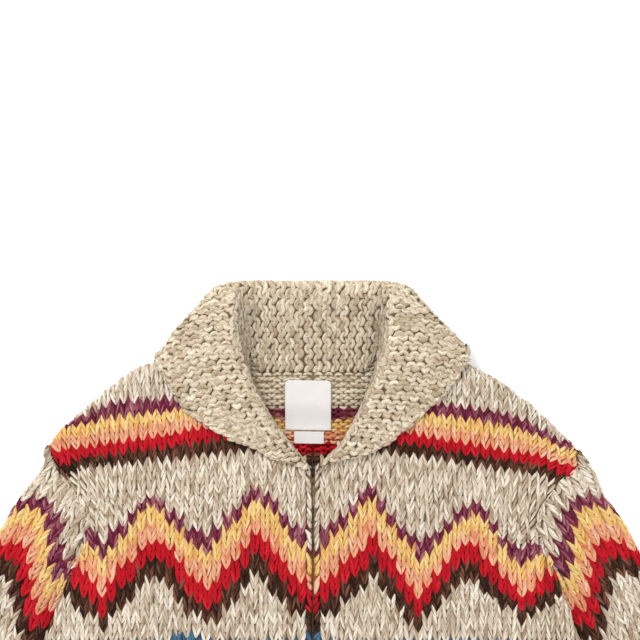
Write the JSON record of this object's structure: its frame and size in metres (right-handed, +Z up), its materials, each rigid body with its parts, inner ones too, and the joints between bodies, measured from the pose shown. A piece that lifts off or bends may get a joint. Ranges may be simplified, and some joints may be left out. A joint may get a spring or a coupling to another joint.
{
  "type": "cowichan cardigan",
  "caption": "Chunky hand-knit zip cardigan laid flat, with a folded garter shawl collar, zigzag colour bands, ribbed hem and cuffs, and blank neck labels.",
  "frame": {"origin": "middle of the footprint, on the surface the cardigan lies on", "axes": "+X towards the right sleeve as seen from above, +Y from the hem towards the collar, +Z up from the table"},
  "size_m": [0.9104, 0.7523, 0.0312],
  "materials": {
    "natural_knit": "matt heathered wool knit with coloured zigzag bands",
    "natural_rib": "matt heathered wool rib",
    "collar_knit": "matt heathered wool garter stitch",
    "zip_tape": "matt woven tape",
    "antique_brass": "dull antique brass",
    "label_satin": "soft satin weave, left bare"
  },
  "bodies": {
    "root": {"body_back": "natural_knit", "front_left": "natural_knit", "front_right": "natural_knit", "sleeve_left": "natural_knit", "sleeve_right": "natural_knit", "collar": "collar_knit", "hem_back": "natural_rib", "hem_left": "natural_rib", "hem_right": "natural_rib", "cuff_left": "natural_rib", "cuff_right": "natural_rib", "zip_tape_left": "zip_tape", "zip_tape_right": "zip_tape", "zip_chain": "antique_brass", "zip_slider": "antique_brass", "zip_pull": "antique_brass", "neck_label": "label_satin", "small_label": "label_satin"}
  },
  "joints": []
}
